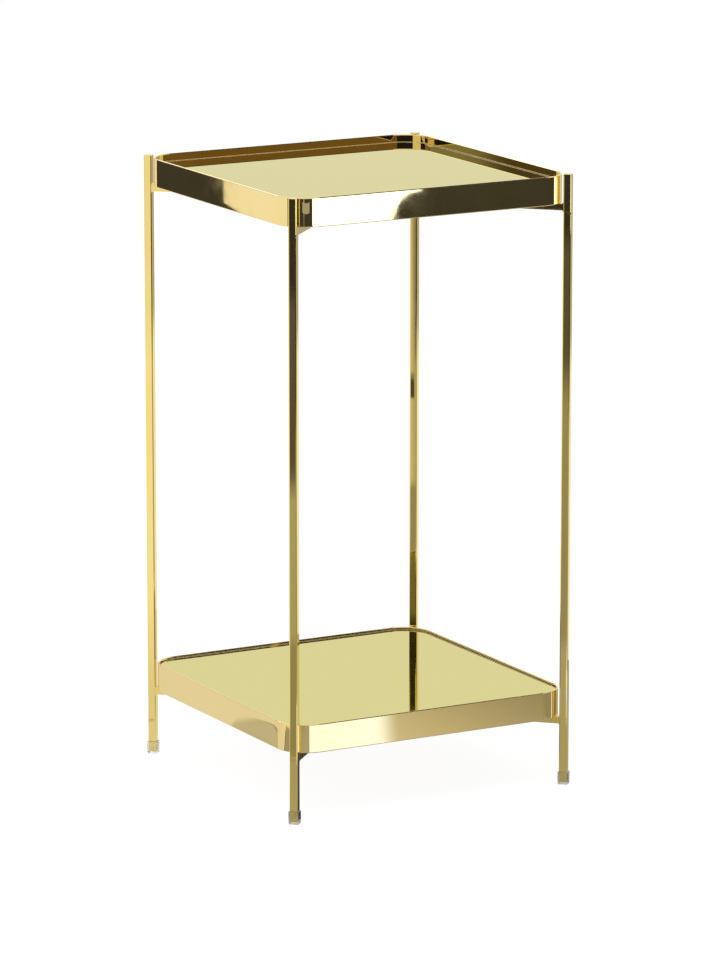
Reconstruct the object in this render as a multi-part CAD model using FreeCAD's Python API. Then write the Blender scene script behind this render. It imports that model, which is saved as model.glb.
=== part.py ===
import FreeCAD, Part
import os

# Two-tier side table of polished gold-coloured steel, in millimetres.
# +Z is up, X and Y run along the sides of the trays, and the origin lies on the floor
# at the middle of the four feet.

# Whole table
TABLE_HEIGHT = 650.0            # floor to the tops of the legs
UPPER_RIM_DROP = 1.0            # leg tops above the upper rim
LOWER_RIM_TOP = 103.0           # floor to the top of the lower rim

# Tray rims, each one a steel strip bent to a square with round corners
TRAY_WIDTH = 330.0              # outside, both ways
TRAY_CORNER_RADIUS = 33.0       # outside
RIM_HEIGHT = 30.0
RIM_THICKNESS = 2.0
RIM_EDGE_RADIUS = 0.9           # rounding of the strip's long edges

# Mirrors and what they lie on
UPPER_RECESS = 8.2              # upper rim's top to its mirror
LOWER_RECESS = 2.5              # lower rim's top to its mirror
MIRROR_THICKNESS = 3.0
MIRROR_GAP = 1.2                # between mirror and rim, all round
MIRROR_ARRIS = 0.2              # ground edge of the glass
PAD_THICKNESS = 1.0             # adhesive pads between mirror and base
PAD_DIAMETER = 30.0
PAD_INSET = 50.0                # outer pads' centres from the mirror's sides
BASE_THICKNESS = 1.2            # sheet steel base
BASE_GAP = 0.1                  # weld gap between base and rim

# Legs, square bars turned so that one face looks at the table's middle
LEG_SIDE = 8.7
LEG_EDGE_RADIUS = 1.0
LEG_END_CHAMFER = 0.4
LEG_TRAY_GAP = 3.2              # tray corner to the leg's inner face

# Arms, bars welded to the legs, with an eye under each tray corner
ARM_HEIGHT = 7.0
ARM_FACE_STEP = 0.1             # arm's sides behind the leg's sides
ARM_REACH = 62.0                # leg's inner face to the centre of the eye
ARM_UNDER_FILLET = 1.5          # weld under the arm
ARM_OVER_FILLET = 1.5           # weld above the arm
EYE_WALL = 2.4                  # metal round the screw's sunk head
EYE_HOLE_CLEARANCE = 0.25       # hole beyond the screw, on the radius

# Screws that hold the trays on the arms
SCREW_DIAMETER = 5.0
SCREW_TIP_GAP = 4.0             # screw's end below the base
SCREW_TIP_CHAMFER = 0.6
HEAD_OVERHANG = 2.25            # head beyond the shank, on the radius
HEAD_HEIGHT = 2.75
HEAD_ROUNDING = 1.6
SOCKET_ACROSS_FLATS = 3.0
SOCKET_DEPTH = 1.6
WASHER_THICKNESS = 1.0
WASHER_OVERHANG = 2.5           # washer beyond the shank, on the radius
WASHER_CLEARANCE = 0.15         # washer's hole beyond the shank, on the radius
BOSS_WALL = 3.0                 # metal round the boss's thread
THREAD_CLEARANCE = 0.05         # thread's wall beyond the shank, on the radius
SUNK_HOLE_CLEARANCE = 0.4       # hole for washer and head beyond the washer, on the radius

# Clear plastic foot caps
CAP_HEIGHT = 13.5
CAP_WALL = 1.2
CAP_FLOOR = 2.5                 # plastic under the leg's end
CAP_CLEARANCE = 0.05            # between cap and leg
CAP_FOOT_RADIUS = 1.2           # rounding of the lower edges

# Worked out from the sizes above
UPPER_RIM_TOP = TABLE_HEIGHT - UPPER_RIM_DROP
RIM_TOPS = {"upper": UPPER_RIM_TOP, "lower": LOWER_RIM_TOP}
RECESSES = {"upper": UPPER_RECESS, "lower": LOWER_RECESS}
TRAY_INSIDE = TRAY_WIDTH - 2 * RIM_THICKNESS
INSIDE_CORNER_RADIUS = TRAY_CORNER_RADIUS - RIM_THICKNESS
TRAY_CORNER_REACH = (TRAY_WIDTH / 2 - TRAY_CORNER_RADIUS) * 2 ** 0.5 + TRAY_CORNER_RADIUS
LEG_INNER_FACE = TRAY_CORNER_REACH + LEG_TRAY_GAP
LEG_AXIS = LEG_INNER_FACE + LEG_SIDE / 2
EYE_CENTRE = LEG_INNER_FACE - ARM_REACH
SHANK_RADIUS = SCREW_DIAMETER / 2
EYE_HOLE_RADIUS = SHANK_RADIUS + EYE_HOLE_CLEARANCE
WASHER_RADIUS = SHANK_RADIUS + WASHER_OVERHANG
SUNK_HOLE_RADIUS = WASHER_RADIUS + SUNK_HOLE_CLEARANCE
SUNK_HOLE_DEPTH = WASHER_THICKNESS + HEAD_HEIGHT
EYE_RADIUS = SUNK_HOLE_RADIUS + EYE_WALL
CAP_INSIDE = LEG_SIDE + 2 * CAP_CLEARANCE
CAP_INSIDE_RADIUS = LEG_EDGE_RADIUS + CAP_CLEARANCE

# The corners' directions, in degrees from +X
CORNERS = {"front_left": 225, "front_right": 315, "back_right": 45, "back_left": 135}
UP = FreeCAD.Vector(0, 0, 1)
CENTRE = FreeCAD.Vector(0, 0, 0)
SAME_LEVEL = 1e-6


def upright_edges(shape):
    return [edge for edge in shape.Edges if edge.BoundBox.ZLength > SAME_LEVEL]


def level_edges(shape, height):
    return [
        edge for edge in shape.Edges
        if abs(edge.BoundBox.ZMin - height) < SAME_LEVEL and abs(edge.BoundBox.ZMax - height) < SAME_LEVEL
    ]


def round_cornered_block(side, corner_radius, bottom, top, middle_x=0.0):
    """Upright square block with round corners, its middle on the X axis."""
    corner = FreeCAD.Vector(middle_x - side / 2, -side / 2, bottom)
    block = Part.makeBox(side, side, top - bottom, corner)
    return block.makeFillet(corner_radius, upright_edges(block))


def cylinder(radius, bottom, top, middle_x=0.0, middle_y=0.0):
    return Part.makeCylinder(radius, top - bottom, FreeCAD.Vector(middle_x, middle_y, bottom), UP)


def turned_to(corner, shape):
    """Copy of a shape made along +X, turned to point at one corner of the table."""
    copy = shape.copy()
    copy.rotate(CENTRE, UP, CORNERS[corner])
    return copy


def at_every_corner(shape):
    return Part.makeCompound([turned_to(corner, shape) for corner in CORNERS])


def rim_bottom(tier):
    return RIM_TOPS[tier] - RIM_HEIGHT


def mirror_top(tier):
    return RIM_TOPS[tier] - RECESSES[tier]


def base_top(tier):
    return mirror_top(tier) - MIRROR_THICKNESS - PAD_THICKNESS


def base_bottom(tier):
    return base_top(tier) - BASE_THICKNESS


def arm_bottom(tier):
    return rim_bottom(tier) - ARM_HEIGHT


def washer_seat(tier):
    return arm_bottom(tier) + SUNK_HOLE_DEPTH


def make_leg():
    bar = round_cornered_block(LEG_SIDE, LEG_EDGE_RADIUS, CAP_FLOOR, TABLE_HEIGHT, LEG_AXIS)
    return bar.makeChamfer(LEG_END_CHAMFER, level_edges(bar, TABLE_HEIGHT))


def make_foot_cap():
    outside_radius = CAP_INSIDE_RADIUS + CAP_WALL
    foot_radius = min(CAP_FOOT_RADIUS, 0.9 * outside_radius)
    sleeve = round_cornered_block(CAP_INSIDE + 2 * CAP_WALL, outside_radius, 0, CAP_HEIGHT, LEG_AXIS)
    sleeve = sleeve.makeFillet(foot_radius, level_edges(sleeve, 0))
    return sleeve.cut(round_cornered_block(CAP_INSIDE, CAP_INSIDE_RADIUS, CAP_FLOOR, CAP_HEIGHT, LEG_AXIS))


def weld_corner(radius, height, side):
    """Bar in the corner between leg and arm, hollowed to a quarter round; side is 1 above the arm, -1 under it."""
    width = LEG_SIDE - 2 * ARM_FACE_STEP
    low = min(height, height + side * radius)
    corner = FreeCAD.Vector(LEG_INNER_FACE - radius, -width / 2, low)
    bar = Part.makeBox(radius, width, radius, corner)
    hollow_start = FreeCAD.Vector(LEG_INNER_FACE - radius, -width / 2, height + side * radius)
    return bar.cut(Part.makeCylinder(radius, width, hollow_start, FreeCAD.Vector(0, 1, 0)))


def make_arm(tier, leg):
    top = rim_bottom(tier)
    bottom = arm_bottom(tier)
    width = LEG_SIDE - 2 * ARM_FACE_STEP
    start = FreeCAD.Vector(EYE_CENTRE, -width / 2, bottom)
    arm = Part.makeBox(LEG_AXIS - EYE_CENTRE, width, ARM_HEIGHT, start)
    arm = arm.fuse(cylinder(EYE_RADIUS, bottom, top, EYE_CENTRE))
    arm = arm.fuse(weld_corner(ARM_UNDER_FILLET, bottom, -1))
    arm = arm.fuse(weld_corner(ARM_OVER_FILLET, top, 1))
    arm = arm.cut(cylinder(EYE_HOLE_RADIUS, bottom, top, EYE_CENTRE))
    arm = arm.cut(cylinder(SUNK_HOLE_RADIUS, bottom, washer_seat(tier), EYE_CENTRE))
    pieces = arm.cut(leg).Solids
    return max(pieces, key=lambda piece: piece.Volume).removeSplitter()


def make_rim(tier):
    top = RIM_TOPS[tier]
    bottom = rim_bottom(tier)
    edge_radius = min(RIM_EDGE_RADIUS, 0.45 * RIM_THICKNESS)
    strip = round_cornered_block(TRAY_WIDTH, TRAY_CORNER_RADIUS, bottom, top)
    strip = strip.cut(round_cornered_block(TRAY_INSIDE, INSIDE_CORNER_RADIUS, bottom, top))
    return strip.makeFillet(edge_radius, level_edges(strip, top) + level_edges(strip, bottom))


def make_base(tier):
    side = TRAY_INSIDE - 2 * BASE_GAP
    return round_cornered_block(side, INSIDE_CORNER_RADIUS - BASE_GAP, base_bottom(tier), base_top(tier))


def make_mirror(tier):
    side = TRAY_INSIDE - 2 * MIRROR_GAP
    top = mirror_top(tier)
    pane = round_cornered_block(side, INSIDE_CORNER_RADIUS - MIRROR_GAP, top - MIRROR_THICKNESS, top)
    return pane.makeChamfer(MIRROR_ARRIS, level_edges(pane, top))


def make_pads(tier):
    bottom = base_top(tier)
    offset = TRAY_INSIDE / 2 - MIRROR_GAP - PAD_INSET
    places = [(0, 0)] + [(x, y) for x in (-offset, offset) for y in (-offset, offset)]
    pads = [cylinder(PAD_DIAMETER / 2, bottom, bottom + PAD_THICKNESS, x, y) for x, y in places]
    return Part.makeCompound(pads)


def make_boss(tier):
    bottom = rim_bottom(tier)
    top = base_bottom(tier)
    thread_radius = SHANK_RADIUS + THREAD_CLEARANCE
    boss = cylinder(thread_radius + BOSS_WALL, bottom, top, EYE_CENTRE)
    return boss.cut(cylinder(thread_radius, bottom, top, EYE_CENTRE))


def make_washer(tier):
    top = washer_seat(tier)
    bottom = top - WASHER_THICKNESS
    ring = cylinder(WASHER_RADIUS, bottom, top, EYE_CENTRE)
    return ring.cut(cylinder(SHANK_RADIUS + WASHER_CLEARANCE, bottom, top, EYE_CENTRE))


def hexagon_bar(across_flats, bottom, top, middle_x):
    corner_radius = across_flats / 3 ** 0.5
    outline = Part.makeCircle(corner_radius, FreeCAD.Vector(middle_x, 0, bottom), UP).discretize(7)
    return Part.Face(Part.makePolygon(outline)).extrude(UP * (top - bottom))


def make_screw(tier):
    head_top = washer_seat(tier) - WASHER_THICKNESS
    head_bottom = head_top - HEAD_HEIGHT
    tip = base_bottom(tier) - SCREW_TIP_GAP
    rounding = min(HEAD_ROUNDING, 0.9 * HEAD_HEIGHT)
    head = cylinder(SHANK_RADIUS + HEAD_OVERHANG, head_bottom, head_top, EYE_CENTRE)
    head = head.makeFillet(rounding, level_edges(head, head_bottom))
    head = head.cut(hexagon_bar(SOCKET_ACROSS_FLATS, head_bottom, head_bottom + SOCKET_DEPTH, EYE_CENTRE))
    shank = cylinder(SHANK_RADIUS, head_top, tip, EYE_CENTRE)
    shank = shank.makeChamfer(SCREW_TIP_CHAMFER, level_edges(shank, tip))
    return head.fuse(shank).removeSplitter()


def make_table():
    """Every piece of the table, by name."""
    leg = make_leg()
    foot_cap = make_foot_cap()
    pieces = {}
    for corner in CORNERS:
        pieces["leg_" + corner] = turned_to(corner, leg)
        pieces["foot_cap_" + corner] = turned_to(corner, foot_cap)
    for tier in RIM_TOPS:
        arm = make_arm(tier, leg)
        for corner in CORNERS:
            pieces[tier + "_arm_" + corner] = turned_to(corner, arm)
        pieces[tier + "_tray_rim"] = make_rim(tier)
        pieces[tier + "_tray_base"] = make_base(tier)
        pieces[tier + "_mirror"] = make_mirror(tier)
        pieces[tier + "_mirror_pads"] = make_pads(tier)
        pieces[tier + "_tray_bosses"] = at_every_corner(make_boss(tier))
        pieces[tier + "_washers"] = at_every_corner(make_washer(tier))
        pieces[tier + "_screws"] = at_every_corner(make_screw(tier))
    return pieces


os.makedirs("parts", exist_ok=True)
for name, shape in make_table().items():
    shape.exportStep("parts/" + name + ".step")
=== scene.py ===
import math

import bmesh
import bpy
from bpy.props import FloatProperty, FloatVectorProperty, PointerProperty
from mathutils import Matrix, Vector


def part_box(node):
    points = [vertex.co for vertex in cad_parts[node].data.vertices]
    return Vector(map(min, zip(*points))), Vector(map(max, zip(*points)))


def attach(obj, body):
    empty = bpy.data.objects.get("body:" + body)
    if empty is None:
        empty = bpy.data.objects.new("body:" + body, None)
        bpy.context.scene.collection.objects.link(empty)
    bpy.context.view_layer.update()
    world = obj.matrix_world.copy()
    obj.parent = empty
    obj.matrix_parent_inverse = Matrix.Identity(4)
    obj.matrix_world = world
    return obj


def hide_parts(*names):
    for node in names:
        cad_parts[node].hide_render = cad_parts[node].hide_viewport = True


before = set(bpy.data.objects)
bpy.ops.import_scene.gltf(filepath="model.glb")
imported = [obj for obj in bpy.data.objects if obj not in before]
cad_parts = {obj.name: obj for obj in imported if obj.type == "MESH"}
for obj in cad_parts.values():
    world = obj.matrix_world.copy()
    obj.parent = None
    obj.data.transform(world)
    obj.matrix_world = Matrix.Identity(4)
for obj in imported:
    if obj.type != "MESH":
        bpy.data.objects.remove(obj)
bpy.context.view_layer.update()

bl_info = {
    "name": "Tiered side table",
    "version": (1, 0, 0),
    "blender": (4, 5, 0),
    "location": "3D View > Sidebar > Side table",
    "description": "Dresses the packed solids of a gold side table with mirror trays",
    "category": "Add Mesh",
}

# The corners' directions, in degrees from +X, and the two trays
CORNERS = {"front_left": 225, "front_right": 315, "back_right": 45, "back_left": 135}
TIERS = ("upper", "lower")

# Facets of the rounded shapes
TRAY_CORNER_FACETS = 24
BAR_EDGE_FACETS = 6
SMALL_EDGE_FACETS = 3
TINY_EDGE_FACETS = 2
CHAMFER_FACETS = 1
EYE_FACETS = 32
SCREW_FACETS = 24
SOCKET_SIDES = 6
WELD_FACETS = 6
TACK_FACETS = 16
TACK_RINGS = 24

# Edges sharper than this stay sharp, and points nearer than this are the same
SHARP_ANGLE = math.radians(40)
NEAR = 1e-6


def length(name, description, default):
    """A size that a user may change, in metres."""
    return FloatProperty(
        name=name, description=description, default=default, min=0.0, precision=5, unit="LENGTH"
    )


def colour(name, description, default):
    """A colour that a user may change."""
    return FloatVectorProperty(
        name=name, description=description, default=default, min=0.0, max=1.0, size=3, subtype="COLOR"
    )


class TableSizes(bpy.types.PropertyGroup):
    """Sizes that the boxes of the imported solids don't give"""

    leg_side: length("Leg side", "Width of the square leg bar", 0.0087)
    leg_edge: length("Leg edge", "Rounding of the leg's long edges", 0.0013)
    leg_end: length("Leg end", "Rounding of the leg's top", 0.0004)
    rim_corner: length("Rim corner", "Outside radius of the tray's corners", 0.033)
    rim_thickness: length("Rim thickness", "Thickness of the bent strip", 0.002)
    rim_edge: length("Rim edge", "Rounding of the strip's long edges", 0.0009)
    mirror_corner: length("Mirror corner", "Radius of the mirror's corners", 0.0298)
    mirror_arris: length("Mirror arris", "Chamfer at the glass's top edge", 0.0002)
    mirror_border: length("Mirror border", "Width of the ground border", 0.0012)
    base_corner: length("Base corner", "Radius of the base sheet's corners", 0.0309)
    sheared_edge: length("Sheared edge", "Rounding of the base sheet's edges", 0.0002)
    tack_length: length("Tack length", "Length of a weld tack between base and rim", 0.009)
    tack_width: length("Tack width", "Width of a weld tack", 0.0034)
    tack_place: length("Tack place", "Tacks' distance from the middle of a side", 0.085)
    arm_width: length("Arm width", "Width of the arm across the diagonal", 0.0085)
    arm_edge: length("Arm edge", "Rounding of the arm's edges", 0.0003)
    arm_sink: length("Arm sink", "Arm's end inside the leg's rounded face", 0.001)
    weld_under: length("Weld under", "Radius of the weld under the arm", 0.0015)
    weld_over: length("Weld over", "Radius of the weld above the arm", 0.0015)
    eye_radius: length("Eye radius", "Outside radius of the arm's eye", 0.0078)
    eye_hole: length("Eye hole", "Radius of the hole in the eye", 0.00275)
    sunk_radius: length("Sunk radius", "Radius of the hole round the screw's head", 0.0054)
    eye_neck: length("Eye neck", "Length over which the eye runs into the bar", 0.002)
    boss_radius: length("Boss radius", "Outside radius of the threaded boss", 0.00555)
    boss_bore: length("Boss bore", "Radius of the boss's bore", 0.00255)
    washer_radius: length("Washer radius", "Outside radius of the washer", 0.005)
    washer_hole: length("Washer hole", "Radius of the washer's hole", 0.00265)
    shank_radius: length("Shank radius", "Radius of the screw's shank", 0.0025)
    tip_chamfer: length("Tip chamfer", "Chamfer at the screw's tip", 0.0006)
    head_radius: length("Head radius", "Radius of the screw's head", 0.00475)
    head_height: length("Head height", "Height of the screw's head", 0.00275)
    head_rounding: length("Head rounding", "Rounding of the screw's head", 0.0016)
    socket_width: length("Socket width", "Hexagon socket across its flats", 0.003)
    socket_depth: length("Socket depth", "Depth of the hexagon socket", 0.0016)
    cap_width: length("Cap width", "Outside width of the foot cap", 0.0112)
    cap_corner: length("Cap corner", "Rounding of the cap's upright edges", 0.00225)
    cap_wall: length("Cap wall", "Thickness of the cap's wall", 0.0012)
    cap_floor: length("Cap floor", "Plastic under the leg's end", 0.0025)
    cap_foot: length("Cap foot", "Rounding of the cap's lower edge", 0.0012)
    cap_lip: length("Cap lip", "Rounding of the cap's upper edge", 0.0003)


class TableColours(bpy.types.PropertyGroup):
    """Colours of the finishes"""

    bar: colour("Bar gold", "Polished plating of legs and arms", (0.85, 0.67, 0.23))
    bar_warm: colour("Warm bar gold", "Where the bars' plating is thicker", (0.83, 0.64, 0.20))
    band: colour("Band gold", "Polished plating of the rims", (0.88, 0.70, 0.31))
    band_warm: colour("Warm band gold", "Where the rims' plating is thicker", (0.87, 0.67, 0.27))
    sheet: colour("Sheet gold", "Plating of the unpolished base", (0.80, 0.62, 0.27))
    sheet_dull: colour("Dull sheet gold", "Where the base was handled", (0.70, 0.53, 0.23))
    mirror: colour("Mirror", "Gold mirror seen from above", (0.77, 0.70, 0.32))
    mirror_dust: colour("Mirror dust", "Specks of dust on the mirror", (0.80, 0.76, 0.48))
    ground_glass: colour("Ground glass", "Border of the mirror", (0.85, 0.8, 0.58))
    mirror_low: colour("Mirror low view", "Tint of the mirror at a low angle", (0.835, 0.82, 0.63))
    plastic: colour("Plastic", "Clear foot caps", (0.97, 0.97, 0.94))
    plastic_scuff: colour("Plastic scuff", "Scuffed places on the caps", (0.90, 0.90, 0.86))
    foam: colour("Foam", "Adhesive foam pads", (0.78, 0.78, 0.75))
    foam_pore: colour("Foam pore", "Pores of the foam", (0.55, 0.55, 0.52))
    zinc: colour("Zinc", "Screws and washers", (0.66, 0.67, 0.68))
    zinc_dull: colour("Dull zinc", "Duller grains of the zinc", (0.52, 0.53, 0.55))
    floor: colour("Floor", "Pale studio floor", (0.80, 0.80, 0.80))


# Mesh steps that several pieces share


def rounded_square(bm, side, radius, height, facets):
    """Flat square with round corners at one height."""
    bmesh.ops.create_grid(bm, x_segments=1, y_segments=1, size=side / 2)
    bmesh.ops.translate(bm, verts=bm.verts[:], vec=(0, 0, height))
    bmesh.ops.bevel(
        bm, geom=bm.verts[:], offset=radius, offset_type="ABSOLUTE", affect="VERTICES",
        segments=facets, profile=0.5, material=-1,
    )


def points_of(geometry):
    return [item for item in geometry if isinstance(item, bmesh.types.BMVert)]


def faces_of(geometry):
    return [item for item in geometry if isinstance(item, bmesh.types.BMFace)]


def corners_of(faces):
    return list({vert for face in faces for vert in face.verts})


def extruded(bm, faces, rise):
    """Extrude a flat outline up to a closed solid and return the new faces."""
    made = bmesh.ops.extrude_face_region(bm, geom=faces)["geom"]
    bmesh.ops.translate(bm, verts=points_of(made), vec=(0, 0, rise))
    return faces_of(made)


def drawn_out(bm, faces, move):
    """Extrude faces of a closed solid, drop the old ones and return the new ones."""
    made = bmesh.ops.extrude_face_region(bm, geom=faces)["geom"]
    bmesh.ops.delete(bm, geom=faces, context="FACES")
    bmesh.ops.translate(bm, verts=points_of(made), vec=move)
    return faces_of(made)


def sharp_edges(bm):
    return [edge for edge in bm.edges if edge.calc_face_angle(0.0) > SHARP_ANGLE]


def edges_at(bm, height):
    """Sharp edges that lie at one height."""
    return [
        edge for edge in sharp_edges(bm)
        if all(abs(vert.co.z - height) < NEAR for vert in edge.verts)
    ]


def edges_on_circle(bm, radius, height):
    """Sharp edges of one circle round the upright axis."""
    return [
        edge for edge in edges_at(bm, height)
        if all(abs(vert.co.xy.length - radius) < NEAR for vert in edge.verts)
    ]


def round_edges(bm, edges, radius, facets):
    bmesh.ops.bevel(
        bm, geom=edges, offset=radius, offset_type="OFFSET", affect="EDGES",
        segments=facets, profile=0.5, material=-1,
    )


def face_outwards(bm):
    bmesh.ops.recalc_face_normals(bm, faces=bm.faces[:])


def move_out(bm, distance):
    bmesh.ops.translate(bm, verts=bm.verts[:], vec=(distance, 0, 0))


def turned_solid(bm, outline, facets):
    """Turn (radius, height) points about the upright axis through the origin."""
    verts = [bm.verts.new((radius, 0, height)) for radius, height in outline]
    edges = [bm.edges.new(pair) for pair in zip(verts, verts[1:])]
    bmesh.ops.spin(
        bm, geom=verts + edges, cent=(0, 0, 0), axis=(0, 0, 1), angle=math.tau,
        steps=facets, use_merge=True,
    )
    bmesh.ops.remove_doubles(bm, verts=bm.verts[:], dist=NEAR)
    face_outwards(bm)


def turned_ring(inner, outer, bottom, top):
    """Flat ring round the upright axis."""
    bm = bmesh.new()
    outline = [(inner, bottom), (outer, bottom), (outer, top), (inner, top), (inner, bottom)]
    turned_solid(bm, outline, EYE_FACETS)
    return bm


def point_at_corner(bm, corner):
    """Turn a shape made along +X so that it points at one corner of the table."""
    turn = Matrix.Rotation(math.radians(CORNERS[corner]), 3, "Z")
    bmesh.ops.rotate(bm, cent=(0, 0, 0), matrix=turn, verts=bm.verts[:])


def copy_round(bm):
    """Add copies of a shape, turned by one, two and three quarters round the table."""
    first = bm.verts[:] + bm.edges[:] + bm.faces[:]
    for quarter in (1, 2, 3):
        copy = bmesh.ops.duplicate(bm, geom=first)["geom"]
        turn = Matrix.Rotation(quarter * math.pi / 2, 3, "Z")
        bmesh.ops.rotate(bm, cent=(0, 0, 0), matrix=turn, verts=points_of(copy))


def finished_piece(bm, name, context, maker, *nodes):
    """Make the piece that stands for CAD nodes, and let it ride on the table."""
    face_outwards(bm)
    mesh = bpy.data.meshes.new(name)
    bm.to_mesh(mesh)
    bm.free()
    mesh.shade_smooth()
    mesh.set_sharp_from_angle(angle=SHARP_ANGLE)
    mesh.materials.append(finish_of(context, maker))
    piece = bpy.data.objects.new(name, mesh)
    bpy.context.scene.collection.objects.link(piece)
    shading = piece.modifiers.new("even_shading", "WEIGHTED_NORMAL")
    shading.keep_sharp = True
    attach(piece, "root")
    if nodes:
        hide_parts(*nodes)


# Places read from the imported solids


def levels(node):
    """Lowest and highest point of a CAD node."""
    low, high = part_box(node)
    return low.z, high.z


def width(node):
    low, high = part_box(node)
    return high.x - low.x


def leg_axis():
    """Distance of a leg's axis from the middle of the table."""
    low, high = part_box("leg_back_right")
    return ((low + high) / 2).xy.length


def eye_axis(sizes):
    """Distance of a screw's axis from the middle of the table."""
    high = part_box("upper_washers")[1]
    return (high.x - sizes.washer_radius) * math.sqrt(2)


# Shapes of the pieces


def leg_shape(sizes, node):
    bottom, top = levels(node)
    bm = bmesh.new()
    rounded_square(bm, sizes.leg_side, sizes.leg_edge, bottom, BAR_EDGE_FACETS)
    extruded(bm, bm.faces[:], top - bottom)
    face_outwards(bm)
    round_edges(bm, edges_at(bm, top), sizes.leg_end, SMALL_EDGE_FACETS)
    move_out(bm, leg_axis())
    return bm


def foot_cap_shape(sizes, node):
    bottom, top = levels(node)
    bm = bmesh.new()
    rounded_square(bm, sizes.cap_width, sizes.cap_corner, bottom, BAR_EDGE_FACETS)
    lid = extruded(bm, bm.faces[:], top - bottom)
    bmesh.ops.inset_individual(bm, faces=lid, thickness=sizes.cap_wall, use_even_offset=True)
    drawn_out(bm, lid, (0, 0, bottom + sizes.cap_floor - top))
    face_outwards(bm)
    round_edges(bm, edges_at(bm, bottom), sizes.cap_foot, BAR_EDGE_FACETS)
    round_edges(bm, edges_at(bm, top), sizes.cap_lip, SMALL_EDGE_FACETS)
    move_out(bm, leg_axis())
    return bm


def rim_shape(sizes, node):
    bottom, top = levels(node)
    bm = bmesh.new()
    rounded_square(bm, width(node), sizes.rim_corner, bottom, TRAY_CORNER_FACETS)
    inside = bm.faces[:]
    bmesh.ops.inset_individual(bm, faces=inside, thickness=sizes.rim_thickness, use_even_offset=True)
    bmesh.ops.delete(bm, geom=inside, context="FACES")
    extruded(bm, bm.faces[:], top - bottom)
    face_outwards(bm)
    round_edges(bm, sharp_edges(bm), sizes.rim_edge, BAR_EDGE_FACETS)
    return bm


def plate_shape(node, corner_radius):
    """Flat square plate with round corners."""
    bottom, top = levels(node)
    bm = bmesh.new()
    rounded_square(bm, width(node), corner_radius, bottom, TRAY_CORNER_FACETS)
    extruded(bm, bm.faces[:], top - bottom)
    face_outwards(bm)
    return bm


def mirror_shape(sizes, node):
    """Plate with a chamfered top edge and a slim ground border inside it."""
    bm = plate_shape(node, sizes.mirror_corner)
    ground = bm.faces.layers.float.new("ground_border")
    pane = [face for face in bm.faces if face.normal.z > 1 - NEAR]
    bmesh.ops.inset_individual(bm, faces=pane, thickness=sizes.mirror_border, use_even_offset=True)
    round_edges(bm, edges_at(bm, levels(node)[1]), sizes.mirror_arris, CHAMFER_FACETS)
    for face in bm.faces:
        if face.normal.z > NEAR and face not in pane:
            face[ground] = 1.0
    return bm


def base_shape(sizes, node):
    bm = plate_shape(node, sizes.base_corner)
    round_edges(bm, sharp_edges(bm), sizes.sheared_edge, SMALL_EDGE_FACETS)
    return bm


def tack_shape(sizes, base, rim):
    """Two rippled weld tacks on each side, in the corner between base and rim."""
    wall = width(rim) / 2 - sizes.rim_thickness
    under = levels(base)[0]
    sink = sizes.tack_width / 6
    ripples = 5
    ripple_depth = 0.06
    bm = bmesh.new()
    for place in (-sizes.tack_place, sizes.tack_place):
        ball = bmesh.ops.create_uvsphere(bm, u_segments=TACK_FACETS, v_segments=TACK_RINGS, radius=0.5)
        bead = ball["verts"]
        for vert in bead:
            thickness = sizes.tack_width * (1 + ripple_depth * math.cos(ripples * math.tau * vert.co.z))
            vert.co = Vector((vert.co.x * thickness, vert.co.z * sizes.tack_length, vert.co.y * thickness))
        bmesh.ops.translate(bm, verts=bead, vec=(wall - sink, place, under - sink))
    copy_round(bm)
    return bm


def arm_shape(sizes, node):
    """Bar from an eye to the leg, with a sunk screw hole and the weld's quarter rounds."""
    tier = node.split("_")[0]
    top = levels(tier + "_tray_rim")[0]
    bottom = levels(tier + "_screws")[0]
    seat = levels(tier + "_washers")[1] - bottom
    leg_face = leg_axis() - sizes.leg_side / 2 - eye_axis(sizes)
    outline = [
        (sizes.eye_hole, seat),
        (sizes.sunk_radius, seat),
        (sizes.sunk_radius, 0),
        (sizes.eye_radius, 0),
        (sizes.eye_radius, top - bottom),
        (sizes.eye_hole, top - bottom),
        (sizes.eye_hole, seat),
    ]
    bm = bmesh.new()
    turned_solid(bm, outline, EYE_FACETS)
    neck = neck_faces(bm, sizes)
    half_neck = max(vert.co.y for vert in corners_of(neck))
    end = drawn_out(bm, neck, (0, 0, 0))
    narrowing = Vector((0, sizes.arm_width / 2 / half_neck, 1))
    flatten = Matrix.Translation((-sizes.eye_radius - sizes.eye_neck, 0, 0))
    bmesh.ops.scale(bm, vec=narrowing, space=flatten, verts=corners_of(end))
    for step in range(WELD_FACETS + 1):
        reach = leg_face - sizes.weld_under * (1 - math.sin(step / WELD_FACETS * math.pi / 2))
        end = drawn_out(bm, end, (0, 0, 0))
        set_arm_end(sizes, end, reach, leg_face, top - bottom)
    drawn_out(bm, end, (sizes.arm_sink, 0, 0))
    face_outwards(bm)
    round_edges(bm, sharp_edges(bm), sizes.arm_edge, TINY_EDGE_FACETS)
    bmesh.ops.translate(bm, verts=bm.verts[:], vec=(eye_axis(sizes), 0, bottom))
    return bm


def neck_faces(bm, sizes):
    """Faces of the eye's outer wall that the bar grows from."""
    half_angle = math.radians(31)
    return [
        face for face in bm.faces
        if face.normal.x > math.cos(half_angle) and face.calc_center_median().x > sizes.sunk_radius
    ]


def weld_growth(radius, reach, leg_face):
    """How far a weld's quarter round stands off the bar at this reach."""
    into = max(0.0, reach - (leg_face - radius))
    return radius - math.sqrt(max(0.0, radius ** 2 - into ** 2))


def set_arm_end(sizes, end, reach, leg_face, height):
    """Put the bar's end at a reach and give it the welds' height there."""
    for vert in corners_of(end):
        vert.co.x = reach
        if vert.co.z > height / 2:
            vert.co.z = height + weld_growth(sizes.weld_over, reach, leg_face)
        else:
            vert.co.z = -weld_growth(sizes.weld_under, reach, leg_face)


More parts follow.
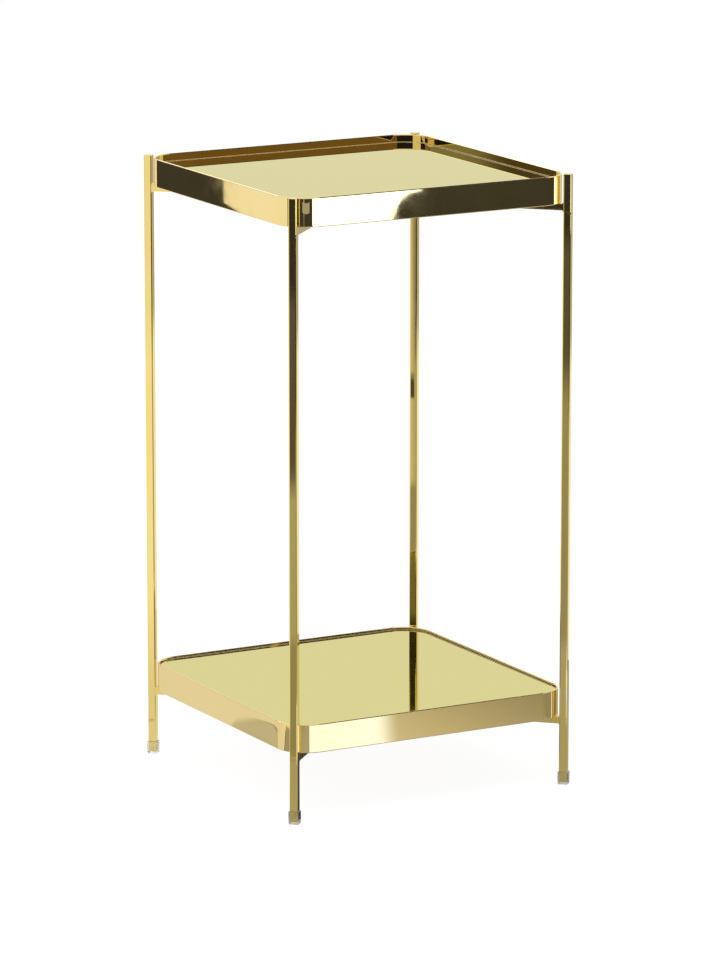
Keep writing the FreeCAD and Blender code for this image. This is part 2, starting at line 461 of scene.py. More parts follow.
def boss_shape(sizes, node):
    bottom, top = levels(node)
    bm = turned_ring(sizes.boss_bore, sizes.boss_radius, bottom, top)
    round_edges(bm, edges_on_circle(bm, sizes.boss_radius, bottom), sizes.arm_edge, SMALL_EDGE_FACETS)
    put_at_screws(bm, sizes)
    return bm


def washer_shape(sizes, node):
    bm = turned_ring(sizes.washer_hole, sizes.washer_radius, *levels(node))
    round_edges(bm, sharp_edges(bm), sizes.sheared_edge, SMALL_EDGE_FACETS)
    put_at_screws(bm, sizes)
    return bm


def put_at_screws(bm, sizes):
    """Move a shape from the upright axis to a screw's place, and copy it to the other three."""
    move_out(bm, eye_axis(sizes))
    point_at_corner(bm, "front_left")
    copy_round(bm)


def screw_shape(sizes, node):
    """Button-head screws with their heads below, each with a hexagon socket."""
    bottom, top = levels(node)
    shoulder = bottom + sizes.head_height
    socket_radius = sizes.socket_width / math.sqrt(3)
    circle_radius = 1.2 * socket_radius
    outline = [
        (circle_radius, bottom),
        (sizes.head_radius, bottom),
        (sizes.head_radius, shoulder),
        (sizes.shank_radius, shoulder),
        (sizes.shank_radius, top),
        (0, top),
    ]
    bm = bmesh.new()
    turned_solid(bm, outline, SCREW_FACETS)
    cut_socket(bm, sizes, socket_radius, bottom)
    round_edges(bm, edges_on_circle(bm, sizes.head_radius, bottom), sizes.head_rounding, BAR_EDGE_FACETS)
    round_edges(bm, edges_on_circle(bm, sizes.head_radius, shoulder), sizes.sheared_edge, TINY_EDGE_FACETS)
    round_edges(bm, edges_on_circle(bm, sizes.shank_radius, top), sizes.tip_chamfer, CHAMFER_FACETS)
    put_at_screws(bm, sizes)
    return bm


def cut_socket(bm, sizes, socket_radius, bottom):
    """Close the open circle under a screw's head with a hexagon socket."""
    circle = [edge for edge in bm.edges if edge.is_boundary]
    before = set(bm.edges)
    place = Matrix.Translation((0, 0, bottom))
    bmesh.ops.create_circle(bm, segments=SOCKET_SIDES, radius=socket_radius, matrix=place)
    sides = [edge for edge in bm.edges if edge not in before]
    bmesh.ops.subdivide_edges(bm, edges=sides, cuts=SCREW_FACETS // SOCKET_SIDES - 1)
    hexagon = [edge for edge in bm.edges if edge not in before]
    bmesh.ops.bridge_loops(bm, edges=circle + hexagon)
    wall = bmesh.ops.extrude_edge_only(bm, edges=hexagon)["geom"]
    bmesh.ops.translate(bm, verts=points_of(wall), vec=(0, 0, sizes.socket_depth))
    rim = [edge for edge in bm.edges if edge.is_boundary]
    bmesh.ops.edgeloop_fill(bm, edges=rim)
    face_outwards(bm)


# Node steps that several finishes share


def add_node(tree, kind, **settings):
    node = tree.nodes.new(kind)
    for name, value in settings.items():
        setattr(node, name, value)
    return node


def object_place(tree):
    return add_node(tree, "ShaderNodeTexCoord").outputs["Object"]


def plug(tree, socket, value):
    """Link a socket to an input, or set a plain value on it."""
    if isinstance(value, bpy.types.NodeSocket):
        tree.links.new(value, socket)
    else:
        socket.default_value = value


def feed(tree, node, **values):
    """Give a node its inputs by name; underscores stand for spaces."""
    for name, value in values.items():
        plug(tree, node.inputs[name.replace("_", " ")], value)


def noise(tree, place, scale, detail):
    node = add_node(tree, "ShaderNodeTexNoise")
    feed(tree, node, Vector=place, Scale=scale, Detail=detail)
    return node.outputs["Fac"]


def spread(tree, value, low, high, to_low=0.0, to_high=1.0):
    """Map a value from one range to another, with soft ends."""
    node = add_node(tree, "ShaderNodeMapRange", interpolation_type="SMOOTHSTEP")
    feed(tree, node, Value=value, From_Min=low, From_Max=high, To_Min=to_low, To_Max=to_high)
    return node.outputs["Result"]


def between(tree, mask, low, high):
    """A value that goes softly from low to high as the mask goes from 0 to 1."""
    return spread(tree, mask, 0.0, 1.0, low, high)


def maths(tree, operation, first, second=0.0):
    node = add_node(tree, "ShaderNodeMath", operation=operation)
    plug(tree, node.inputs[0], first)
    plug(tree, node.inputs[1], second)
    return node.outputs[0]


def mixed_colour(tree, mask, first, second):
    """Mix a second colour over a first one, which may itself be mixed."""
    mask_input, first_input, second_input, colour_output = 0, 6, 7, 2
    node = add_node(tree, "ShaderNodeMix", data_type="RGBA")
    tree.links.new(mask, node.inputs[mask_input])
    plug(tree, node.inputs[first_input], first if isinstance(first, bpy.types.NodeSocket) else (*first, 1))
    node.inputs[second_input].default_value = (*second, 1)
    return node.outputs[colour_output]


def bump(tree, height, distance, normal=None):
    """Raise the surface by a height that runs from 0 to 1 over this distance."""
    node = add_node(tree, "ShaderNodeBump")
    feed(tree, node, Height=height, Distance=distance)
    if normal is not None:
        tree.links.new(normal, node.inputs["Normal"])
    return node.outputs["Normal"]


def new_group(name, inputs, outputs):
    """Empty node group with float or vector inputs and float outputs."""
    group = bpy.data.node_groups.new(name, "ShaderNodeTree")
    for label, default in inputs.items():
        kind = "NodeSocketFloat" if isinstance(default, float) else "NodeSocketVector"
        socket = group.interface.new_socket(name=label, in_out="INPUT", socket_type=kind)
        socket.default_value = default
    for label in outputs:
        group.interface.new_socket(name=label, in_out="OUTPUT", socket_type="NodeSocketFloat")
    given = add_node(group, "NodeGroupInput").outputs
    result = add_node(group, "NodeGroupOutput").inputs
    return group, given, result


def soft_patches():
    """Cloudy mask, for plating that varies and for haze."""
    clear_below = 0.35
    full_above = 0.65
    group, given, result = new_group("soft_patches", {"Scale": 10.0}, ["Mask"])
    clouds = noise(group, object_place(group), given["Scale"], detail=2.0)
    group.links.new(spread(group, clouds, clear_below, full_above), result["Mask"])
    return group


def polish_lines():
    """Fine lines left by polishing or rolling, longest where the stretch is least."""
    group, given, result = new_group("polish_lines", {"Stretch": (10.0, 10.0, 900.0)}, ["Height"])
    stretched = add_node(group, "ShaderNodeVectorMath", operation="MULTIPLY")
    group.links.new(object_place(group), stretched.inputs[0])
    group.links.new(given["Stretch"], stretched.inputs[1])
    group.links.new(noise(group, stretched.outputs[0], scale=1.0, detail=2.0), result["Height"])
    return group


def sheet_waves():
    """Slow waves of bent and polished metal."""
    group, given, result = new_group("sheet_waves", {"Scale": 14.0}, ["Height"])
    group.links.new(noise(group, object_place(group), given["Scale"], detail=0.0), result["Height"])
    return group


def weld_ripple():
    """Uneven polishing on the legs next to the welded arms."""
    inputs = {"Upper weld": 0.6, "Lower weld": 0.07, "Reach": 0.012}
    group, given, result = new_group("weld_ripple", inputs, ["Height"])
    place = object_place(group)
    parts = add_node(group, "ShaderNodeSeparateXYZ")
    group.links.new(place, parts.inputs[0])
    from_upper = maths(group, "SUBTRACT", parts.outputs["Z"], given["Upper weld"])
    from_lower = maths(group, "SUBTRACT", parts.outputs["Z"], given["Lower weld"])
    distances = [maths(group, "ABSOLUTE", offset) for offset in (from_upper, from_lower)]
    nearest = maths(group, "MINIMUM", *distances)
    near = maths(group, "SUBTRACT", 1.0, spread(group, nearest, 0.0, given["Reach"]))
    uneven = noise(group, place, scale=160.0, detail=1.0)
    group.links.new(maths(group, "MULTIPLY", near, uneven), result["Height"])
    return group


def small_specks():
    """Scattered small dots, for dust and pores."""
    group, given, result = new_group("small_specks", {"Scale": 60.0, "Size": 0.05}, ["Mask"])
    cells = add_node(group, "ShaderNodeTexVoronoi")
    feed(group, cells, Vector=object_place(group), Scale=given["Scale"])
    inside = spread(group, cells.outputs["Distance"], 0.0, given["Size"])
    group.links.new(maths(group, "SUBTRACT", 1.0, inside), result["Mask"])
    return group


def effect(tree, maker, output, **values):
    """Place a shared effect in a material, with its own values."""
    group = bpy.data.node_groups.get(maker.__name__) or maker()
    node = add_node(tree, "ShaderNodeGroup", node_tree=group)
    feed(tree, node, **values)
    return node.outputs[output]


# Finishes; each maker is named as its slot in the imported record


def new_finish(name):
    material = bpy.data.materials.new(name)
    material.use_nodes = True
    tree = material.node_tree
    return material, tree, tree.nodes["Principled BSDF"]


def gold_bar(colours):
    """Polished plated bar: legs and arms."""
    material, tree, shader = new_finish("gold_bar_finish")
    patches = effect(tree, soft_patches, "Mask", Scale=9.0)
    haze = effect(tree, soft_patches, "Mask", Scale=45.0)
    lines = effect(tree, polish_lines, "Height", Stretch=(1400.0, 1400.0, 30.0))
    waves = effect(tree, sheet_waves, "Height", Scale=28.0)
    upper_weld = sum(levels("upper_arm_front_left")) / 2
    lower_weld = sum(levels("lower_arm_front_left")) / 2
    welds = {"Upper_weld": upper_weld, "Lower_weld": lower_weld}
    ripple = effect(tree, weld_ripple, "Height", Reach=0.016, **welds)
    normal = bump(tree, waves, distance=0.00003)
    normal = bump(tree, lines, distance=0.0000003, normal=normal)
    normal = bump(tree, ripple, distance=0.0001, normal=normal)
    feed(
        tree, shader, Metallic=1.0, Normal=normal,
        Base_Color=mixed_colour(tree, patches, colours.bar, colours.bar_warm),
        Roughness=between(tree, haze, 0.02, 0.05),
    )
    return material


def gold_band(colours):
    """Polished plated strip: the tray rims."""
    material, tree, shader = new_finish("gold_band_finish")
    patches = effect(tree, soft_patches, "Mask", Scale=7.0)
    haze = effect(tree, soft_patches, "Mask", Scale=30.0)
    lines = effect(tree, polish_lines, "Height", Stretch=(30.0, 30.0, 1400.0))
    waves = effect(tree, sheet_waves, "Height", Scale=16.0)
    normal = bump(tree, waves, distance=0.00003)
    normal = bump(tree, lines, distance=0.0000003, normal=normal)
    feed(
        tree, shader, Metallic=1.0, Normal=normal,
        Base_Color=mixed_colour(tree, patches, colours.band, colours.band_warm),
        Roughness=between(tree, haze, 0.015, 0.035),
    )
    return material


def gold_sheet(colours):
    """Plated but unpolished sheet: the bases, their bosses and tacks."""
    material, tree, shader = new_finish("gold_sheet_finish")
    patches = effect(tree, soft_patches, "Mask", Scale=22.0)
    haze = effect(tree, soft_patches, "Mask", Scale=70.0)
    lines = effect(tree, polish_lines, "Height", Stretch=(12.0, 700.0, 700.0))
    waves = effect(tree, sheet_waves, "Height", Scale=12.0)
    normal = bump(tree, waves, distance=0.0002)
    normal = bump(tree, lines, distance=0.00002, normal=normal)
    feed(
        tree, shader, Metallic=1.0, Normal=normal,
        Base_Color=mixed_colour(tree, patches, colours.sheet, colours.sheet_dull),
        Roughness=between(tree, haze, 0.24, 0.36),
    )
    return material


def gold_mirror(colours):
    """Gold-tinted mirror with a little dust and wiping haze, and a frosted border."""
    material, tree, shader = new_finish("gold_mirror_finish")
    dust = effect(tree, small_specks, "Mask", Scale=260.0, Size=0.09)
    haze = effect(tree, soft_patches, "Mask", Scale=14.0)
    waves = effect(tree, sheet_waves, "Height", Scale=9.0)
    border = add_node(tree, "ShaderNodeAttribute", attribute_name="ground_border").outputs["Fac"]
    pane = mixed_colour(tree, dust, colours.mirror, colours.mirror_dust)
    polish = between(tree, haze, 0.004, 0.02)
    frosting = maths(tree, "MULTIPLY", border, 0.4)
    feed(
        tree, shader, Specular_Tint=(*colours.mirror_low, 1),
        Normal=bump(tree, waves, distance=0.00002),
        Base_Color=mixed_colour(tree, border, pane, colours.ground_glass),
        Metallic=maths(tree, "SUBTRACT", 1.0, border),
        Roughness=maths(tree, "ADD", polish, frosting),
    )
    return material


def clear_plastic(colours):
    """Clear moulded plastic with light scuffs: the foot caps."""
    material, tree, shader = new_finish("clear_plastic_finish")
    scuffs = effect(tree, soft_patches, "Mask", Scale=260.0)
    waves = effect(tree, sheet_waves, "Height", Scale=220.0)
    feed(
        tree, shader, Metallic=0.0, Transmission_Weight=1.0, IOR=1.46,
        Normal=bump(tree, waves, distance=0.00004),
        Base_Color=mixed_colour(tree, scuffs, colours.plastic, colours.plastic_scuff),
        Roughness=between(tree, scuffs, 0.02, 0.12),
    )
    return material


def foam_tape(colours):
    """Matt foam with open pores: the pads under the mirrors."""
    material, tree, shader = new_finish("foam_tape_finish")
    pores = effect(tree, small_specks, "Mask", Scale=1500.0, Size=0.45)
    feed(
        tree, shader, Metallic=0.0,
        Normal=bump(tree, pores, distance=-0.0001),
        Base_Color=mixed_colour(tree, pores, colours.foam, colours.foam_pore),
        Roughness=between(tree, pores, 0.85, 1.0),
    )
    return material


def zinc_steel(colours):
    """Zinc-plated steel: screws and washers."""
    material, tree, shader = new_finish("zinc_steel_finish")
    grains = effect(tree, soft_patches, "Mask", Scale=600.0)
    waves = effect(tree, sheet_waves, "Height", Scale=900.0)
    feed(
        tree, shader, Metallic=1.0,
        Normal=bump(tree, waves, distance=0.00005),
        Base_Color=mixed_colour(tree, grains, colours.zinc, colours.zinc_dull),
        Roughness=between(tree, grains, 0.22, 0.38),
    )
    return material


def finish_of(context, maker):
    """A finish, made the first time that a piece asks for it."""
    made = bpy.data.materials.get(maker.__name__ + "_finish")
    return made or maker(context.scene.side_table_colours)


# Operators


def make_piece(context, node, shape, ending, maker):
    """Make the piece that stands for one CAD node in the middle of the table."""
    bm = shape(context.scene.side_table_sizes, node)
    finished_piece(bm, f"{node}_{ending}", context, maker, node)


def make_corner_pieces(context, kind, shape, ending, maker):
    """Make the pieces that stand for one kind of CAD node, one at each corner."""
    for corner in CORNERS:
        node = f"{kind}_{corner}"
        bm = shape(context.scene.side_table_sizes, node)
        point_at_corner(bm, corner)
        finished_piece(bm, f"{node}_{ending}", context, maker, node)


class SIDE_TABLE_OT_legs(bpy.types.Operator):
    """Make the four square legs"""

    bl_idname = "side_table.legs"
    bl_label = "Legs"

    def execute(self, context):
        make_corner_pieces(context, "leg", leg_shape, "bar", gold_bar)
        return {"FINISHED"}


class SIDE_TABLE_OT_arms(bpy.types.Operator):
    """Make the eight arms that carry the trays"""

    bl_idname = "side_table.arms"
    bl_label = "Arms"

    def execute(self, context):
        for tier in TIERS:
            make_corner_pieces(context, tier + "_arm", arm_shape, "bar", gold_bar)
        return {"FINISHED"}


class SIDE_TABLE_OT_foot_caps(bpy.types.Operator):
    """Make the four clear foot caps"""

    bl_idname = "side_table.foot_caps"
    bl_label = "Foot caps"

    def execute(self, context):
        make_corner_pieces(context, "foot_cap", foot_cap_shape, "sleeve", clear_plastic)
        return {"FINISHED"}


class SIDE_TABLE_OT_rims(bpy.types.Operator):
    """Make the two bent tray rims"""

    bl_idname = "side_table.rims"
    bl_label = "Rims"

    def execute(self, context):
        for tier in TIERS:
            make_piece(context, tier + "_tray_rim", rim_shape, "band", gold_band)
        return {"FINISHED"}


class SIDE_TABLE_OT_mirrors(bpy.types.Operator):
    """Make the two mirrors and finish the pads under them"""

    bl_idname = "side_table.mirrors"
    bl_label = "Mirrors and pads"

    def execute(self, context):
        for tier in TIERS:
            make_piece(context, tier + "_mirror", mirror_shape, "pane", gold_mirror)
            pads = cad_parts[tier + "_mirror_pads"]
            pads.data.materials.clear()
            pads.data.materials.append(finish_of(context, foam_tape))
        return {"FINISHED"}


class SIDE_TABLE_OT_bases(bpy.types.Operator):
    """Make the base sheets, their weld tacks and threaded bosses"""

    bl_idname = "side_table.bases"
    bl_label = "Bases"

    def execute(self, context):
        sizes = context.scene.side_table_sizes
        for tier in TIERS:
            base = tier + "_tray_base"
            make_piece(context, base, base_shape, "sheet", gold_sheet)
            tacks = tack_shape(sizes, base, tier + "_tray_rim")
            finished_piece(tacks, tier + "_tray_tacks", context, gold_sheet)
            make_piece(context, tier + "_tray_bosses", boss_shape, "turned", gold_sheet)
        return {"FINISHED"}


class SIDE_TABLE_OT_fasteners(bpy.types.Operator):
    """Make the screws and washers under the arms"""

    bl_idname = "side_table.fasteners"
    bl_label = "Screws and washers"

    def execute(self, context):
        for tier in TIERS:
            make_piece(context, tier + "_screws", screw_shape, "turned", zinc_steel)
            make_piece(context, tier + "_washers", washer_shape, "turned", zinc_steel)
        return {"FINISHED"}


# Stage: floor, lamps, cards for the metal to reflect (painted reflections of studio light and shade), and
# the camera

# Brightness of the dark cards, tint of the white ones, and height in metres of one layer of floor cards
BLACK = 0.02
DARK = 0.05
COOL_WHITE = (0.62, 0.72, 1)
FLOOR_LAYER = 0.0001


def seen_directly(tree):
    """1 for rays from the camera, a reflection or clear plastic, and 0 for plain lighting."""
    path = add_node(tree, "ShaderNodeLightPath").outputs
    reflected = maths(tree, "MAXIMUM", path["Is Glossy Ray"], path["Is Transmission Ray"])
    return maths(tree, "MAXIMUM", path["Is Camera Ray"], reflected)


def mixed_shader(tree, mask, first, second):
    node = add_node(tree, "ShaderNodeMixShader")
    plug(tree, node.inputs[0], mask)
    tree.links.new(first, node.inputs[1])
    tree.links.new(second, node.inputs[2])
    return node.outputs[0]


def floor_finish(colours):
    """White to the eye, with a faint shadow, and plain pale to the lamps."""
    glow_strength = 0.93
    faint_colour = (0.15, 0.15, 0.15)
    material, tree, shader = new_finish("pale_floor")
    tree.nodes.remove(shader)
    plain = add_node(tree, "ShaderNodeBsdfDiffuse")
    plain.inputs["Color"].default_value = (*colours.floor, 1)
    faint = add_node(tree, "ShaderNodeBsdfDiffuse")
    faint.inputs["Color"].default_value = (*faint_colour, 1)
    glow = add_node(tree, "ShaderNodeEmission")
    glow.inputs["Strength"].default_value = glow_strength
    white = add_node(tree, "ShaderNodeAddShader")
    tree.links.new(faint.outputs[0], white.inputs[0])
    tree.links.new(glow.outputs[0], white.inputs[1])
    surface = mixed_shader(tree, seen_directly(tree), plain.outputs[0], white.outputs[0])
    tree.links.new(surface, tree.nodes["Material Output"].inputs["Surface"])
    return material


def make_floor(colours):
    half_width = 30
    bm = bmesh.new()
    bmesh.ops.create_grid(bm, x_segments=1, y_segments=1, size=half_width)
    mesh = bpy.data.meshes.new("floor")
    bm.to_mesh(mesh)
    bm.free()
    mesh.materials.append(floor_finish(colours))
    floor = bpy.data.objects.new("floor", mesh)
    bpy.context.scene.collection.objects.link(floor)


def make_world():
    """White to the eye and in reflections, and a plain level for lighting."""
    light_level = 0.55
    world = bpy.data.worlds.new("studio")
    world.use_nodes = True
    tree = world.node_tree
    light = tree.nodes["Background"]
    light.inputs["Color"].default_value = (1, 1, 1, 1)
    light.inputs["Strength"].default_value = light_level
    white = add_node(tree, "ShaderNodeBackground")
    white.inputs["Color"].default_value = (1, 1, 1, 1)
    surface = mixed_shader(tree, seen_directly(tree), light.outputs[0], white.outputs[0])
    tree.links.new(surface, tree.nodes["World Output"].inputs["Surface"])
    bpy.context.scene.world = world


def make_lamp(name, place, size, power):
    """Square lamp that looks at the table and that reflections don't show."""
    target = Vector((0, 0, 0.3))
    data = bpy.data.lights.new(name, "AREA")
    data.size = size
    data.energy = power
    lamp = bpy.data.objects.new(name, data)
    lamp.location = place
    lamp.rotation_euler = (target - Vector(place)).to_track_quat("-Z", "Y").to_euler()
    bpy.context.scene.collection.objects.link(lamp)
    lamp.visible_glossy = False


def card_finish(name, brightness, soft, tint):
    """Card that fades out over these shares of its width and height: left, right, bottom, top."""
    material, tree, shader = new_finish(name)
    tree.nodes.remove(shader)
    parts = add_node(tree, "ShaderNodeSeparateXYZ")
    tree.links.new(add_node(tree, "ShaderNodeTexCoord").outputs["UV"], parts.inputs[0])
    mask = 1.0
    for share, axis, start, inward in zip(soft, "XXYY", (0.0, 1.0, 0.0, 1.0), (1, -1, 1, -1)):
        if share:
            fade = spread(tree, parts.outputs[axis], start, start + inward * share)
            mask = maths(tree, "MULTIPLY", mask, fade)
    glow = add_node(tree, "ShaderNodeEmission")
    glow.inputs["Color"].default_value = (*tint, 1)
    glow.inputs["Strength"].default_value = brightness
    clear = add_node(tree, "ShaderNodeBsdfTransparent")
    surface = mixed_shader(tree, mask, clear.outputs[0], glow.outputs[0])
    tree.links.new(surface, tree.nodes["Material Output"].inputs["Surface"])
    return material


def card_places(corners):
    """The unit square for a card of four corners, and shares of its two widest spans for more."""
    if len(corners) == 4:
        return [(0, 0), (1, 0), (1, 1), (0, 1)]
    spans = [(min(values), max(values)) for values in zip(*corners)]
    flat = min(range(3), key=lambda axis: spans[axis][1] - spans[axis][0])
    return [
        [(corner[axis] - low) / (high - low) for axis, (low, high) in enumerate(spans) if axis != flat]
        for corner in corners
    ]


def make_card(name, corners, brightness, soft=(0, 0, 0, 0), tint=(1, 1, 1)):
    """Flat card that only reflections show, a painted reflection of light or shade that lights nothing and
    casts no shadow; corners run from its lower left round to its upper left.
    """
    bm = bmesh.new()
    face = bm.faces.new([bm.verts.new(corner) for corner in corners])
    layer = bm.loops.layers.uv.new("card")
    for loop, place in zip(face.loops, card_places(corners)):
        loop[layer].uv = place
    mesh = bpy.data.meshes.new(name)
    bm.to_mesh(mesh)
    bm.free()
    mesh.materials.append(card_finish(name, brightness, soft, tint))
    card = bpy.data.objects.new(name, mesh)
    card.visible_camera = False
    card.visible_diffuse = False
    card.visible_shadow = False
    bpy.context.scene.collection.objects.link(card)


def standing_card(name, start, end, heights, brightness, **look):
    """Upright card over the line between two floor places."""
    bottom, top = heights
    corners = [(*start, bottom), (*end, bottom), (*end, top), (*start, top)]
    make_card(name, corners, brightness, **look)


def front_outline(name, depth, places, brightness, **look):
    """Card that faces the table's front, from its corners' x and z."""
    make_card(name, [(x, depth, z) for x, z in places], brightness, **look)


def lying_card(name, places, height, brightness, **look):
    make_card(name, [(x, y, height) for x, y in places], brightness, **look)


def floor_card(name, places, layer, brightness, **look):
    """Card just above the floor, in a layer that keeps it apart from the cards that it covers."""
    lying_card(name, places, layer * FLOOR_LAYER, brightness, **look)


def left_place(reach, offset):
    """Floor place along the way that the legs' broad faces look, and across it."""
    along = Vector((-0.876, -0.483))
    across = Vector((0.483, -0.876))
    return tuple(reach * along + offset * across)


def left_strip(start, end, left, right):
    """Corners of a floor strip between two reaches and two offsets."""
    return [left_place(start, left), left_place(end, left), left_place(end, right), left_place(start, right)]


def across_card(name, reach, offsets, heights, brightness, **look):
    """Upright card across the way that the legs' broad faces look."""
    start, end = [left_place(reach, offset) for offset in offsets]
    standing_card(name, start, end, heights, brightness, **look)


def left_cards():
    """Dark studio that the legs' broad faces show, paler towards the floor."""
    wide = (-0.07, 0.45)
    narrow = (-0.14, 0.04)
    soft = (0.17, 0, 0.2, 0)
    across_card("left_grey_card", 1.76, wide, (0.03, 0.47), 0.11, soft=soft)
    across_card("left_low_card", 1.755, (-0.02, 0.13), (0.0, 0.12), 0.11, soft=(0, 0, 0.37, 0))
    across_card("left_dark_card", 1.75, wide, (0.25, 0.47), 0.04, soft=soft)
    across_card("left_brown_card", 1.75, narrow, (0.47, 0.565), 0.25)
    across_card("left_high_card", 1.75, narrow, (0.565, 0.72), 0.04)
    standing_card("left_line_card", (-1.5, -0.25), (-1.5, -0.1), (0.3, 0.5), DARK)


def front_cards():
    """White light between dark studio walls, which the right side of the trays shows."""
    white_places = [(-0.19, 0.3), (1.3, 0.22), (1.3, 0.33), (-0.19, 0.36)]
    dark_places = [
        (0.972, 0.0), (1.8, 0.0), (1.8, 0.42), (1.03, 0.42), (1.022, 0.307),
        (1.004, 0.304), (0.993, 0.297), (0.986, 0.286), (0.977, 0.262),
    ]
    standing_card("front_wall_card", (-1.3, -2.1), (1.8, -2.1), (0.0, 0.5), DARK)
    front_outline("front_white_card", -2.05, white_places, 3.5, tint=COOL_WHITE)
    standing_card("window_card", (-0.397, -0.491), (-0.228, -0.566), (0.5655, 0.578), 0.43)
    front_outline("right_dark_card", -2.0, dark_places, DARK)
    standing_card("corner_dark_card", (-1.33, -1.21), (-1.3, -2.0), (0.0, 0.5), DARK)
    standing_card("right_side_card", (1.8, -2.0), (1.8, -0.7), (0.0, 0.45), DARK)
    standing_card("right_white_card", (1.79, -0.85), (1.79, 0.0), (0.31, 0.38), 2.5, tint=COOL_WHITE)


def high_cards():
    """Dark studio above the front and right, which the top edges of the trays show."""
    column_places = [(0.95, 1.2), (1.5, 1.2), (2.05, 3.0), (1.3, 3.0)]
    ceiling_places = [(1.05, -2.2), (2.0, -2.2), (2.0, 1.8), (1.05, 1.8)]
    standing_card("front_black_card", (0.9, -2.2), (1.5, -2.2), (0.5, 0.95), BLACK)
    front_outline("front_column_card", -2.2, column_places, BLACK)
    lying_card("ceiling_card", ceiling_places, 3.0, BLACK)


def far_cards(name, turns, brightness, reach=6.0, heights=(1.48, 1.68), **look):
    """Slim cards on a circle round the table, one between each two turns in degrees."""
    angles = [math.radians(turn) for turn in turns]
    spots = [(reach * math.cos(angle), reach * math.sin(angle)) for angle in angles]
    for number, (start, end) in enumerate(zip(spots, spots[1:])):
        standing_card(f"{name}_{number}", start, end, heights, brightness, **look)


def wall_cards():
    """Dark and brown studio far off, which the inner walls of the trays show by way of the mirrors."""
    far_cards("far_low_card", range(105, 346, 24), BLACK, reach=4.0, heights=(1.0, 1.2))
    far_cards("far_olive_card", range(126, 149, 22), 0.3, tint=(1, 0.8, 0.45))
    far_cards("far_line_card", range(148, 173, 24), BLACK)
    far_cards("far_dark_card", range(207, 274, 22), BLACK)
    far_cards("far_brown_card", range(273, 344, 14), 0.22, tint=(1, 0.65, 0.33))


def back_cards():
    """Studio behind the table, which the left side and the insides of the trays show."""
    foot_corners = [(-1.5, 2.45, 0.0), (-1.5, 2.548, 0.0), (-1.5, 2.548, 0.147), (-1.5, 2.45, 0.126)]
    high = (1.07, 4.0)
    standing_card("back_left_dark_card", (-1.5, 2.548), (-1.5, 3.6), (0.0, 0.45), DARK)
    make_card("back_left_foot_card", foot_corners, DARK)
    standing_card("back_left_black_card", (-1.6, 2.4), (-1.6, 4.0), (0.75, 1.07), 0.03)
    standing_card("back_left_gold_card", (-1.59, 2.94), (-1.59, 3.6), high, 0.3, soft=(0.25, 0.5, 0, 0))
    standing_card("back_left_brown_card", (-1.6, 2.4), (-1.6, 3.3), high, 0.1, tint=(1, 0.8, 0.6))
    standing_card("back_white_card", (-1.45, 3.0), (1.25, 3.0), (2.05, 2.7), 2.5, tint=(0.75, 0.82, 1))
    across_card("right_grey_card", -1.8, (-0.3, 0.35), (0.09, 0.45), 0.5, soft=(0, 0, 0.2, 0))


def floor_shade_cards():
    """Painted shade and shadow of the studio floor near the table, greys that only reflections show."""
    band_places = [(0.0, -0.57), (0.4, -0.57), (0.4, -0.39), (0.0, -0.39)]
    corner_places = [(0.56, -0.31), (0.42, -0.25), (0.33, -0.39), (0.0, -0.39)]
    leg_places = [(-0.415, -0.26), (-0.535, -0.26), (-0.535, -0.045), (-0.415, -0.045)]
    line_places = [(-0.415, -0.045), (-0.505, -0.045), (-0.505, -0.033), (-0.415, -0.033)]
    floor_card("left_floor_card", left_strip(-0.6, 0.8, -1.5, -0.1), 1, 0.87, soft=(0, 0.4, 0, 0))
    # painted shade: a dimmer floor, seen only in reflections
    floor_card("shaded_floor_card", left_strip(3.5, -0.6, -0.17, 2.6), 2, 0.47, soft=(0, 0, 0.06, 0))
    floor_card("front_shade_card", left_strip(0.45, 1.05, -0.09, 0.16), 4, 0.33, soft=(0.15, 0.15, 0, 0))
    floor_card("right_shade_card", left_strip(0.5, 3.5, 0.16, 0.9), 4, 0.35, soft=(0.04, 0, 0, 0))
    # painted shadow of the table on the floor under it, seen only in reflections
    floor_card("under_table_shadow_card", left_strip(-0.4, 0.2, 0.02, 0.12), 4, 0.07, soft=(0.2, 0, 0, 0))
    floor_card("mark_card", left_strip(1.57, 1.74, -0.09, -0.03), 6, 0.08)
    floor_card("band_shade_card", band_places[:2] + corner_places, 3, 0.33)
    floor_card("band_light_card", band_places, 5, 0.75, soft=(0, 1, 0, 0))
    floor_card("leg_shade_card", leg_places, 5, 0.4)
    floor_card("leg_line_card", line_places, 5, DARK)


def floor_light_cards():
    """Painted light and shade on the floor near the table: white light, and a dimmer patch with a dark
    outline, which the gold shows as tan.
    """
    white_places = [(-0.283, -0.65), (0.23, -0.65), (0.0945, -0.4), (-0.2105, -0.4)]
    right_places = [(0.39, -0.235), (0.62, -0.305), (0.64, -0.16), (0.4, -0.16)]
    dim_patch_places = [
        (-0.28, 0.088), (-0.2936, 0.095), (-0.305, 0.119), (-0.316, 0.148), (-0.329, 0.177), (-0.3365, 0.2),
        (-0.3355, 0.218), (-0.332, 0.24), (-0.321, 0.25), (-0.306, 0.232), (-0.28, 0.2),
    ]
    middle = Vector((-0.308, 0.18))
    growth = 1.07
    outline = [tuple(middle + growth * (Vector(place) - middle)) for place in dim_patch_places]
    floor_card("white_floor_card", white_places, 6, 2.2, soft=(0, 0.07, 0, 0), tint=(0.6, 0.7, 1.12))
    floor_card("right_floor_card", right_places, 6, 2.0, tint=COOL_WHITE)
    # painted shade: a dimmer patch of floor with a dark outline, which the gold shows as tan; both only in
    # reflections
    floor_card("dim_patch_outline_card", outline, 4, DARK, soft=(0, 0.6, 0, 0.5))
    floor_card("dim_patch_card", dim_patch_places, 6, 0.6, soft=(0, 0.4, 0, 0.3))


def make_cards():
    left_cards()
    front_cards()
    high_cards()
    wall_cards()
    back_cards()
    floor_shade_cards()
    floor_light_cards()


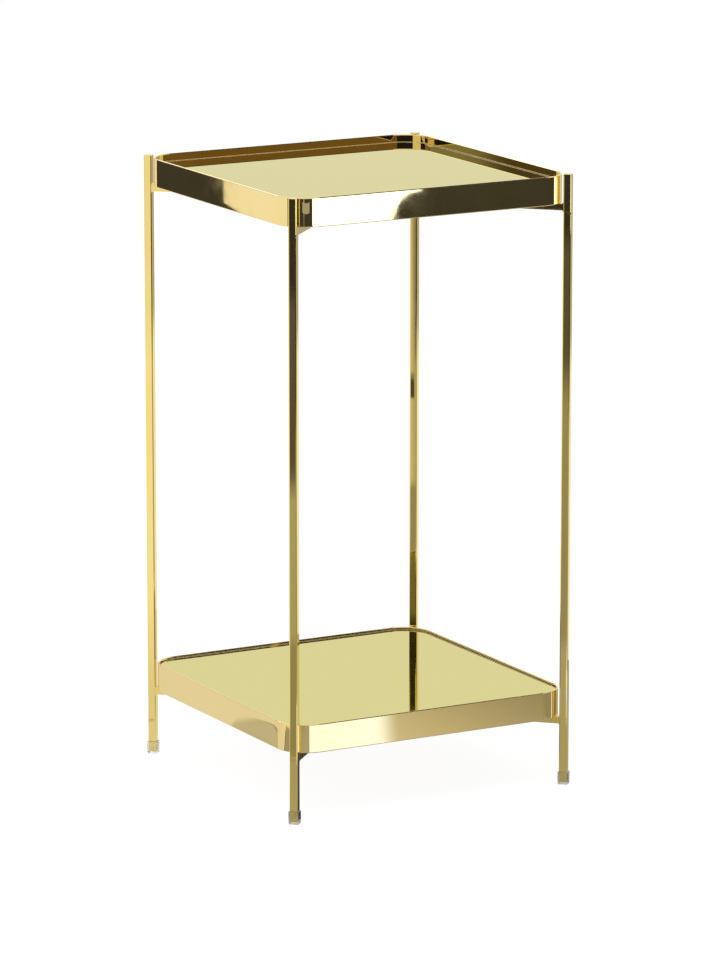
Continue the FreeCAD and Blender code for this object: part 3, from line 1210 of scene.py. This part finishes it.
def make_camera():
    """Long lens, at the photograph's place and angle."""
    data = bpy.data.cameras.new("camera")
    data.lens = 209.3
    data.sensor_width = 36.0
    data.clip_end = 100.0
    camera = bpy.data.objects.new("camera", data)
    camera.location = (-2.7714, -5.0312, 1.557)
    camera.rotation_euler = (math.radians(77.787), 0, math.radians(-28.887))
    bpy.context.scene.collection.objects.link(camera)
    bpy.context.scene.camera = camera


class SIDE_TABLE_OT_stage(bpy.types.Operator):
    """Make the floor, lamps, cards and camera"""

    bl_idname = "side_table.stage"
    bl_label = "Stage"

    def execute(self, context):
        make_floor(context.scene.side_table_colours)
        make_world()
        make_lamp("top_softbox", place=(-0.5, -0.6, 2.6), size=2.0, power=30.0)
        make_lamp("left_softbox", place=(-2.4, -0.4, 1.6), size=1.2, power=12.0)
        make_cards()
        make_camera()
        context.scene.view_settings.view_transform = "Standard"
        return {"FINISHED"}


class VIEW3D_PT_side_table(bpy.types.Panel):
    """Lists the steps and the sizes"""

    bl_label = "Side table"
    bl_space_type = "VIEW_3D"
    bl_region_type = "UI"
    bl_category = "Side table"

    def draw(self, context):
        for step in STEPS:
            self.layout.operator(step.bl_idname)
        for settings in (context.scene.side_table_sizes, context.scene.side_table_colours):
            for name in settings.__annotations__:
                self.layout.prop(settings, name)


STEPS = (
    SIDE_TABLE_OT_legs,
    SIDE_TABLE_OT_arms,
    SIDE_TABLE_OT_foot_caps,
    SIDE_TABLE_OT_rims,
    SIDE_TABLE_OT_mirrors,
    SIDE_TABLE_OT_bases,
    SIDE_TABLE_OT_fasteners,
    SIDE_TABLE_OT_stage,
)
CLASSES = (TableSizes, TableColours, *STEPS, VIEW3D_PT_side_table)


def register():
    for item in CLASSES:
        bpy.utils.register_class(item)
    bpy.types.Scene.side_table_sizes = PointerProperty(type=TableSizes)
    bpy.types.Scene.side_table_colours = PointerProperty(type=TableColours)


def unregister():
    del bpy.types.Scene.side_table_colours
    del bpy.types.Scene.side_table_sizes
    for item in reversed(CLASSES):
        bpy.utils.unregister_class(item)


def main():
    register()
    bpy.ops.side_table.legs()
    bpy.ops.side_table.arms()
    bpy.ops.side_table.foot_caps()
    bpy.ops.side_table.rims()
    bpy.ops.side_table.mirrors()
    bpy.ops.side_table.bases()
    bpy.ops.side_table.fasteners()
    bpy.ops.side_table.stage()


if __name__ == "__main__":
    main()
